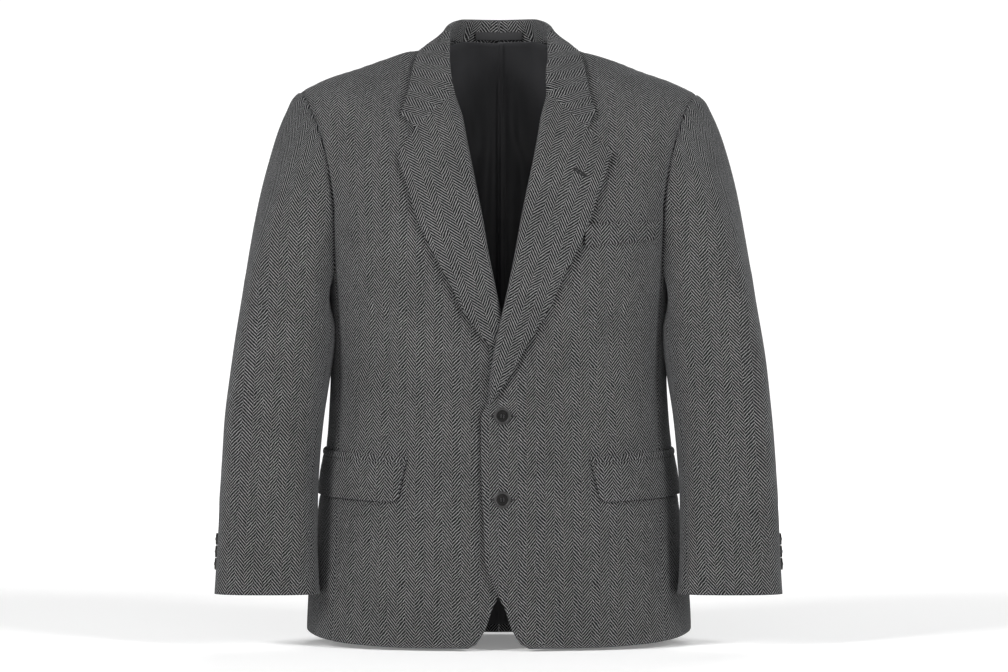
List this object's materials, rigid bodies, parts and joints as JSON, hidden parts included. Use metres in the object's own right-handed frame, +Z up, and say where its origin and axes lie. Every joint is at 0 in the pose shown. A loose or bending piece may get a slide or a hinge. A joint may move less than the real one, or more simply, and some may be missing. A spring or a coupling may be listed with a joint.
{
  "type": "tweed hacking jacket",
  "caption": "Herringbone tweed jacket, single breasted, with notched lapels, flap pockets, breast welt and open sleeves.",
  "frame": {"origin": "between the neck sides of the two shoulder seams, in the middle of the neck, where a hanger or a wearer's shoulders carry the jacket", "axes": "+Z up, +X to the wearer's left, -Y to the front"},
  "size_m": [0.6734, 0.2658, 0.7497],
  "materials": {
    "tweed": "matt woollen herringbone",
    "lining": "smooth satin",
    "button": "polished horn look"
  },
  "bodies": {
    "root": {"back_left": "tweed", "back_right": "tweed", "side_left": "tweed", "side_right": "tweed", "front_left": "tweed", "front_right": "tweed", "lapel_left": "tweed", "lapel_right": "tweed", "collar": "tweed", "sleeve_top_left": "tweed", "sleeve_top_right": "tweed", "sleeve_under_left": "tweed", "sleeve_under_right": "tweed", "flap_left": "tweed", "flap_right": "tweed", "jetting_left": "tweed", "jetting_right": "tweed", "breast_welt": "tweed", "lining_left": "lining", "lining_right": "lining", "hanger_band": "lining", "front_button_top": "button", "front_button_bottom": "button", "cuff_button_left_1": "button", "cuff_button_left_2": "button", "cuff_button_left_3": "button", "cuff_button_right_1": "button", "cuff_button_right_2": "button", "cuff_button_right_3": "button"}
  },
  "joints": []
}
